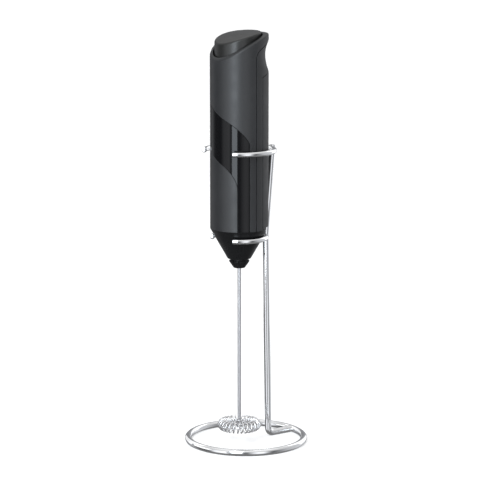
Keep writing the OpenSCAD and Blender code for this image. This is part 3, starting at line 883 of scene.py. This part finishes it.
def rim_part():
    """The rounded, slanted top edge, from the outer skin over to the button's well."""
    angles = np.radians(np.linspace(-270, 90, RIM_COUNT))[:-1]
    lift = np.linspace(0, pi / 2, 7)
    grid = []
    for a in angles:
        well = well_radius(a)
        r0 = HANDLE_R - RIM_ROUND + RIM_ROUND * np.cos(lift)
        z0 = rim_height(r0, a) - RIM_ROUND * (1 - np.sin(lift))
        r1 = np.linspace(HANDLE_R - RIM_ROUND, well + RIM_INNER_ROUND, 6)[1:-1]
        z1 = rim_height(r1, a)
        r2 = well + RIM_INNER_ROUND * (1 - np.sin(lift))
        z2 = rim_height(r2, a) - RIM_INNER_ROUND * (1 - np.cos(lift))
        r = np.concatenate([r0, r1, r2, [well]])
        z = np.concatenate([z0, z1, z2, [rim_foot(a)]])
        grid.append(turned(r, z, a))
    return surface(np.array(grid), wrap_v=False)


def make_inlay():
    left = -HALF_TURN + SEAM_HALF
    upper, lower = sweep_curve(INLAY_UPPER, -INLAY_FIT), sweep_curve(INLAY_LOWER, INLAY_FIT)
    upper[0], lower[0] = (left, upper[0][1]), (left, lower[0][1])
    runs = [
        wall(lower[-1], upper[-1], step=MEDIUM),
        ("wall", upper[:0:-1]),
        wall(upper[0], lower[0]),
        ("wall", lower[:-1]),
    ]
    columns = np.arange(-HALF_TURN, 0, COARSE)
    rows = np.arange(SHELL_Z0 + 1, PLAIN_TOP_Z, BACK_ROWS)
    parts = [panel(runs, inlay_skin, inlay_back, columns, rows, edge_round=INLAY_EDGE_ROUND)]
    moulding("gloss_inlay", parts, GLOSS_PLASTIC)


def door_outline(grow):
    """The arch of the battery door, from its right edge over to its left, unrolled, grown by a gap."""
    edge = DOOR_EDGE - grow / HANDLE_R
    centre_z = DOOR_TOP_Z - DOOR_ARCH_R
    arch = []
    for a in np.linspace(edge, pi - edge, 72):
        x = HANDLE_R * cos(a)
        arch.append((a * HANDLE_R, centre_z + sqrt((DOOR_ARCH_R + grow) ** 2 - x * x)))
    return arch


def make_rear_shell():
    left, right = SEAM_HALF, HALF_TURN - SEAM_HALF
    arch = door_outline(DOOR_GAP)
    half = [tuple(p) for p in seam_run(-SEAM_HALF)]
    seam = mirrored(half, HALF_TURN) + half[-2::-1]
    runs = [
        wall((left, SHELL_Z0), (arch[0][0], SHELL_Z0), step=MEDIUM),
        wall((arch[0][0], SHELL_Z0), arch[0]),
        ("wall", arch[:-1]),
        wall(arch[-1], (arch[-1][0], SHELL_Z0)),
        wall((arch[-1][0], SHELL_Z0), (right, SHELL_Z0), step=MEDIUM),
        wall((right, SHELL_Z0), seam[0]),
        ("wall", seam[:-1]),
        wall(seam[-1], (left, SHELL_Z0)),
    ]
    columns = np.arange(0, HALF_TURN, MEDIUM)
    plain = np.arange(SHELL_Z0 + 1, PLAIN_TOP_Z, BACK_ROWS)
    rows = np.concatenate([plain, np.arange(PLAIN_TOP_Z + 0.5, LATTICE_TOP_Z, FINE)])
    parts = [panel(runs, outer_radius, rear_inner, columns, rows)]
    moulding("rear_shell", parts, REAR_PLASTIC)


def make_door():
    arch = door_outline(0)
    foot_right, foot_left = (arch[0][0], DOOR_Z0), (arch[-1][0], DOOR_Z0)
    runs = [
        wall(foot_right, foot_left, step=MEDIUM),
        wall(foot_left, arch[-1]),
        ("wall", arch[:0:-1]),
        wall(arch[0], foot_right),
    ]
    columns = np.arange(0, HALF_TURN, COARSE)
    plain = np.arange(DOOR_Z0 + 1, PLAIN_TOP_Z, BACK_ROWS)
    rows = np.concatenate([plain, np.arange(PLAIN_TOP_Z + 0.5, DOOR_TOP_Z + 1, CURVED_ROWS)])
    parts = [panel(runs, outer_radius, door_inner, columns, rows, edge_round=DOOR_EDGE_ROUND)]
    moulding("battery_door", parts, DOOR_PLASTIC, "battery_door")


def make_nose():
    end_r, end_z = 6.6, 107.65
    slope = (HANDLE_R - end_r) / (SHELL_Z0 - end_z)
    level_wall = SHELL_WALL * sqrt(1 + slope * slope)
    neck, neck_rise = 4.97, 1.5
    spigot, spigot_inner, spigot_top = 14.5, 12.6, SHELL_Z0 + 4
    rim_inset, relief_r = 0.08, 15.0
    margin, ramp = 0.02, 0.01
    first, last = DOOR_EDGE - margin, pi - DOOR_EDGE + margin

    def cone_z(radius):
        return end_z + (radius - end_r) / slope

    def profile(a):
        turn = a % (2 * pi)
        share = np.clip(min(turn - first, last - turn) / ramp, 0, 1)
        top_r = (HANDLE_R - rim_inset) * (1 - share) + relief_r * share
        return rounded(
            [
                (neck, end_z), (end_r, end_z), (top_r, cone_z(top_r)), (top_r, SHELL_Z0 - HAIR),
                (spigot, SHELL_Z0 - HAIR), (spigot, spigot_top), (spigot_inner, spigot_top),
                (spigot_inner, cone_z(spigot_inner + level_wall)),
                (neck, cone_z(neck + level_wall) + neck_rise),
            ],
            [0.1, 0.35, 0.05, 0.03, 0, 0.2, 0.2, 0.3, 0.3],
        )

    moulding("nose_cone", [lathe(profile, count=360)], NOSE_PLASTIC)


def make_nozzle():
    low, high = box("nozzle")
    wide = width("nozzle", 0) / 2
    mouth, tip = 1.6, 3.2
    flare_z, shoulder_z, shoulder = 106.05, 106.63, 0.3
    collar_r = 4.95
    seat_r, seat_z = 2.53, 104.4
    notches, notch_depth, notch_half, notch_ramp = 10, 0.7, radians(6.5), radians(1.5)
    first_notch = radians(54)

    def profile(a):
        offset = (a + first_notch) % (2 * pi / notches) - pi / notches
        bite = notch_depth * float(np.clip((notch_half - abs(offset)) / notch_ramp, 0, 1))
        return rounded(
            [
                (mouth, low[2]), (tip, low[2]), (wide - bite, flare_z),
                (wide - shoulder - bite, shoulder_z), (collar_r, shoulder_z), (collar_r, high[2]),
                (seat_r, high[2]), (seat_r, seat_z), (mouth, seat_z),
            ],
            [0.15, 0.35, 0.12, 0.1, 0.03, 0.1, 0.1, 0.05, 0.05],
        )

    moulding("nozzle", [lathe(profile, count=360)], NOSE_PLASTIC)


def make_button():
    """Crowned cap. Its points are written about its own centre line."""
    def top(radius, a):
        sag = (radius * cos(a)) ** 2 / (2 * BUTTON_CROSS_R)
        y = BUTTON_Y + radius * sin(a)
        return crown(y, BUTTON_TOP_Z, BUTTON_CROWN_R, BUTTON_TILT) - sag

    lift = np.linspace(pi / 2, 0, 9)
    flat = BUTTON_R - BUTTON_ROUND
    skirt = BUTTON_R - BUTTON_WALL
    chamfer, around_pole = 0.15, 0.6
    below = np.array(
        [
            (around_pole, BUTTON_CEILING), (skirt - chamfer, BUTTON_CEILING),
            (skirt, BUTTON_CEILING - chamfer), (skirt, BUTTON_Z0 + chamfer),
            (skirt + chamfer, BUTTON_Z0), (BUTTON_R - chamfer, BUTTON_Z0),
            (BUTTON_R, BUTTON_Z0 + chamfer), (BUTTON_R, BUTTON_Z0 + 3),
        ]
    )
    count = 180
    grid = []
    for a in np.arange(count) * 2 * pi / count:
        r0 = flat + BUTTON_ROUND * np.sin(lift)
        z0 = top(r0, a) - BUTTON_ROUND * (1 - np.cos(lift))
        r1 = np.linspace(flat, 0.5, 14)[1:]
        r = np.concatenate([below[:, 0], r0, r1])
        z = np.concatenate([below[:, 1], z0, top(r1, a)])
        grid.append(turned(r, z, a) + (0, BUTTON_Y, 0))
    centre_top = float(top(np.array(0.0), 0))
    tilt = unit(np.array((0, BUTTON_Y - BUTTON_CROWN_R * sin(BUTTON_TILT), BUTTON_CROWN_R)))
    poles = [((0, BUTTON_Y, BUTTON_CEILING), (0, 0, -1)), ((0, BUTTON_Y, centre_top), tilt)]
    part = surface(np.array(grid), wrap_v=False, poles=poles)
    piece("button_cap", [part], BUTTON_PLASTIC, "button", ["button"], True)


# ----- Whisk -----

def whisk_piece(name, parts, material, node):
    piece(name, parts, material, "spindle", [node], True)


def make_whisk():
    low, high = box("whisk_shaft")
    chamfer, around_pole = 0.12, 0.3
    profile = [(around_pole, low[2]), (SHAFT_R - chamfer, low[2]), (SHAFT_R, low[2] + chamfer)]
    profile += [(SHAFT_R, z) for z in np.linspace(low[2] + 4, high[2] - 4, 12)]
    profile += [(SHAFT_R, high[2] - chamfer), (SHAFT_R - chamfer, high[2]), (around_pole, high[2])]
    shaft = lathe(np.array(profile), count=48, poles=True)
    whisk_piece("whisk_shaft_rod", [shaft], SHAFT_STEEL, "whisk_shaft")

    hub_low, hub_high = box("whisk_frame")
    core, bore, floor = 0.25, SHAFT_R + HAIR, low[2] - HAIR
    hub = rounded(
        [
            (core, hub_low[2]), (HUB_R, hub_low[2]), (HUB_R, hub_high[2]),
            (bore, hub_high[2]), (bore, floor), (core, floor),
        ],
        [0, 0.5, 0.25, 0.05, 0.05, 0],
    )
    parts = [lathe(hub, count=64), hoop(COIL_RING_R, COIL_Z, FRAME_WIRE_R, count=180, sides=16)]
    for i in range(FRAME_ARMS):
        turn = 2 * pi * i / FRAME_ARMS
        out = np.array((cos(turn), sin(turn), 0))
        reach = np.linspace(HUB_R - FRAME_WIRE_R, COIL_RING_R, 24)
        path = out * reach[:, None] + (0, 0, COIL_Z)
        parts.append(tube(path, FRAME_WIRE_R - HAIR, sides=16, end_round=0.1))
    whisk_piece("whisk_frame_wires", parts, WHISK_STEEL, "whisk_frame")

    rng = random.Random(SEED)
    steps = 22
    sizes = [rng.uniform(COIL_LEAST_SIZE, 1.0) for _ in range(COIL_TURNS)]
    leans = [rng.uniform(-COIL_LEAN, COIL_LEAN) for _ in range(COIL_TURNS)]
    path, across = [], []
    for i in range(COIL_TURNS * steps):
        turn, step = divmod(i, steps)
        blend = step / steps
        size = sizes[turn] * (1 - blend) + sizes[(turn + 1) % COIL_TURNS] * blend
        lean = leans[turn] * (1 - blend) + leans[(turn + 1) % COIL_TURNS] * blend
        a = 2 * pi * i / (COIL_TURNS * steps) + lean
        w = 2 * pi * i / steps
        out = np.array((cos(w) * cos(a), cos(w) * sin(a), sin(w)))
        path.append(np.array((cos(a), sin(a), 0)) * COIL_RING_R + out * COIL_TURN_R * size)
        across.append(out)
    path = np.array(path) + (0, 0, COIL_Z)
    coil = tube(path, COIL_WIRE_R, sides=12, closed=True, across=np.array(across))
    whisk_piece("whisk_coil_wire", [coil], WHISK_STEEL, "whisk_coil")


# ----- Spring under the button -----

def make_spring():
    """A spring with closed ends, which rides on the button."""
    low, high = box("button_spring")
    radius = width("button_spring", 0) / 2 - SPRING_WIRE_R
    steps = 40
    turns = np.linspace(0, SPRING_TURNS, SPRING_TURNS * steps + 1)
    rise = high[2] - low[2] - 2 * SPRING_WIRE_R
    end_rise = 2 * SPRING_WIRE_R
    lift = np.interp(turns, [0, 1, SPRING_TURNS - 1, SPRING_TURNS], [0, end_rise, rise - end_rise, rise])
    spread = steps // 5
    window = 2 * spread + 1
    smooth = np.convolve(np.pad(lift, spread, "edge"), np.ones(window) / window, "valid")
    angle = turns * 2 * pi
    across = np.stack([np.cos(angle), np.sin(angle), np.zeros_like(angle)], -1)
    path = across * radius + (0, 0, low[2] + SPRING_WIRE_R)
    path[:, 2] += smooth
    parts = [tube(path, SPRING_WIRE_R, sides=14, end_round=0.06, across=across)]
    nodes = ["button_spring"]
    obj = piece("button_spring_wire", parts, PLATED_STEEL, "button", nodes, True)
    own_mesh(obj)


# ----- Pieces kept as the CAD made them -----

INSIDE = (
    (BRASS, ("shaft_bush", "return_strip", "motor_bushes")),
    (INNER_PLASTIC, ("battery_tray", "motor_cradle", "switch_plate", "switch_housing")),
    (CELL_JACKET, ("left_cell", "right_cell")),
    (PLATED_STEEL, ("battery_springs", "contact_plates", "motor_can", "plate_screws")),
    (WHITE_PLASTIC, ("motor_end_cap", "drive_coupling", "switch_plunger")),
    (FERRITE, ("motor_magnets",)),
    (COPPER, ("armature", "commutator")),
    (SHAFT_STEEL, ("motor_shaft",)),
)


def dress_inside():
    for material, names in INSIDE:
        for name in names:
            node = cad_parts[name]
            if not node.material_slots:
                node.data.materials.append(material)
            for slot in node.material_slots:
                slot.material = material


# ----- Studio -----

VIEW_AZIMUTH = radians(54)
VIEW_PITCH = radians(10.05)
VIEW_DISTANCE = 1190.35
VIEW_TARGET_Z = 118.02
VIEW_TARGET_RIGHT = 0.41
LENS = 157.5
SENSOR = 36
FLOOR_SIZE = 12  # metres, from the middle to each side
FLOOR_WASH = 1.42


def place(obj, location, back):
    """Puts a camera or a light at a place, in millimetres, with its back along a direction."""
    obj.location = location * MM
    obj.rotation_mode = "QUATERNION"
    obj.rotation_quaternion = back.to_track_quat("Z", "Y")
    bpy.context.collection.objects.link(obj)


def from_camera(turn, distance, height):
    """A place around the handle: turn is in degrees to the right of the camera, as the camera sees it."""
    a = VIEW_AZIMUTH + radians(turn)
    return Vector((sin(a) * distance, -cos(a) * distance + AXIS_Y, height))


def make_camera():
    right = Vector((cos(VIEW_AZIMUTH), sin(VIEW_AZIMUTH), 0))
    target = Vector((0, AXIS_Y, VIEW_TARGET_Z)) + right * VIEW_TARGET_RIGHT
    level = cos(VIEW_PITCH)
    back = Vector((sin(VIEW_AZIMUTH) * level, -cos(VIEW_AZIMUTH) * level, sin(VIEW_PITCH)))
    data = bpy.data.cameras.new("camera")
    data.lens = LENS
    data.sensor_width = SENSOR
    data.clip_start, data.clip_end = 0.05, 60
    camera = bpy.data.objects.new("camera", data)
    place(camera, target + back * VIEW_DISTANCE, back)
    bpy.context.scene.camera = camera


def add_light(name, turn, distance, height, size, power, aim_z, colour=(1, 1, 1), only=None):
    """A soft box of (width, height). With only, it lights nothing but the objects of that collection."""
    data = bpy.data.lights.new(name, "AREA")
    data.shape = "RECTANGLE"
    data.size, data.size_y = size[0] * MM, size[1] * MM
    data.energy = power
    data.color = colour
    light = bpy.data.objects.new(name, data)
    location = from_camera(turn, distance, height)
    place(light, location, location - Vector((0, AXIS_Y, aim_z)))
    light.visible_camera = False
    if only:
        light.light_linking.receiver_collection = only


# Brightness of the surroundings by direction: degrees to the right of the camera, and radiance
SURROUNDINGS = [
    (-180, 0.28), (-145, 0.25), (-128, 0.62), (-114, 0.25), (-104, 0.10), (-76, 0.10), (-62, 1.10),
    (-39, 1.55), (-35, 0.55), (-9, 0.60), (-4, 0.20), (3, 0.20), (14, 0.90), (23, 1.30), (33, 1.25),
    (43, 0.48), (52, 0.12), (85, 0.60), (130, 0.80), (155, 0.45), (180, 0.30),
]
SURROUNDINGS_TINT = (1, 1.015, 1.05)
SKY = 0.8
ZENITH = 1.2
GROUND = 0.22
# Where the surroundings turn into the sky, the zenith and the ground: sines of the height, or of the depth
SKY_BAND = (0.25, 0.7)
ZENITH_BAND = (0.75, 0.97)
GROUND_BAND = (0.40, 0.75)


def make_world():
    """Soft surroundings: brighter and darker sides, a sky brightest overhead, a dim ground."""
    world = bpy.data.worlds.new("studio")
    world.use_nodes = True
    tree = world.node_tree
    where = add_node(tree, "TexCoord").outputs["Generated"]
    turn = add_node(tree, "VectorRotate", vector=where, angle=-VIEW_AZIMUTH)
    turn.rotation_type = "Z_AXIS"
    axes = add_node(tree, "SeparateXYZ", vector=turn.outputs["Vector"])

    def calculate(operation, *values):
        node = add_node(tree, "Math")
        node.operation = operation
        for socket, value in zip(node.inputs, values):
            if isinstance(value, (int, float)):
                socket.default_value = value
            else:
                tree.links.new(value, socket)
        return node.outputs["Value"]

    towards_camera = calculate("MULTIPLY", axes.outputs["Y"], -1)
    angle = calculate("ARCTAN2", axes.outputs["X"], towards_camera)
    share = calculate("MULTIPLY_ADD", angle, 1 / (2 * pi), 0.5)
    ramp = add_node(tree, "ValToRGB", fac=share)
    stops = ramp.color_ramp.elements
    stops.remove(stops[-1])
    for k, (degrees, level) in enumerate(SURROUNDINGS):
        stop = stops[0] if k == 0 else stops.new(degrees / 360 + 0.5)
        stop.color = (*(level * tint for tint in SURROUNDINGS_TINT), 1)

    def blend(band, height, first, second):
        """Turns the first colour into the second, a grey, over a band of heights."""
        level = add_node(tree, "MapRange", value=height, from_min=band[0], from_max=band[1])
        level.interpolation_type = "SMOOTHSTEP"
        return add_mix(tree, level.outputs["Result"], first, (second, second, second, 1))

    sky = blend(SKY_BAND, axes.outputs["Z"], ramp.outputs["Color"], SKY)
    zenith = blend(ZENITH_BAND, axes.outputs["Z"], sky, ZENITH)
    depth = calculate("MULTIPLY", axes.outputs["Z"], -1)
    whole = blend(GROUND_BAND, depth, zenith, GROUND)
    connect(tree, tree.nodes["Background"], color=whole)
    bpy.context.scene.world = world


def collect(name, objects):
    group = bpy.data.collections.new(name)
    for obj in objects:
        group.objects.link(obj)
    return group


def make_studio():
    corners = [(x * FLOOR_SIZE, y * FLOOR_SIZE, 0) for x, y in ((-1, -1), (1, -1), (1, 1), (-1, 1))]
    mesh = bpy.data.meshes.new("floor")
    mesh.from_pydata(corners, [], [(0, 1, 2, 3)])
    mesh.materials.append(FLOOR_PAINT)
    floor = bpy.data.objects.new("floor", mesh)
    floor.visible_glossy = False
    bpy.context.collection.objects.link(floor)
    floor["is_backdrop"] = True
    floor_only = collect("floor_only", [floor])
    wash = bpy.data.lights.new("floor_wash", "SUN")
    wash.energy = FLOOR_WASH
    lamp = bpy.data.objects.new("floor_wash", wash)
    lamp.light_linking.receiver_collection = floor_only
    lamp.light_linking.blocker_collection = floor_only
    bpy.context.collection.objects.link(lamp)
    shiny = (CHROME, WELD, WHISK_STEEL)
    wires = [o for o in bpy.data.objects if o.type == "MESH" and o.active_material in shiny]
    metal_only = collect("metal_only", wires)
    for turn in (-140, 140):
        add_light(
            "panel_%d" % turn, turn, distance=900, height=420, size=(700, 1100), power=1.9,
            aim_z=420, only=metal_only,
        )
    ring_only = collect("ring_only", [o for o in wires if o.name.startswith("base_ring")])
    add_light(
        "ring_panel", turn=-92, distance=700, height=160, size=(560, 420), power=1.0,
        aim_z=0, only=ring_only,
    )
    add_light(
        "key_strip", turn=-18, distance=620, height=420, size=(222, 900), power=4.3,
        colour=(0.85, 0.93, 1.0), aim_z=420,
    )
    make_world()
    bpy.context.scene.view_settings.view_transform = "Standard"


make_camera()
make_stand()
make_front_shell()
make_inlay()
make_rear_shell()
make_door()
make_nose()
make_nozzle()
make_button()
make_whisk()
make_spring()
dress_inside()
make_studio()


def plain(bounds):
    return [[float(v) for v in corner] for corner in bounds]


{"cad": plain(CAD_BOX), "visual": plain(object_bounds())}
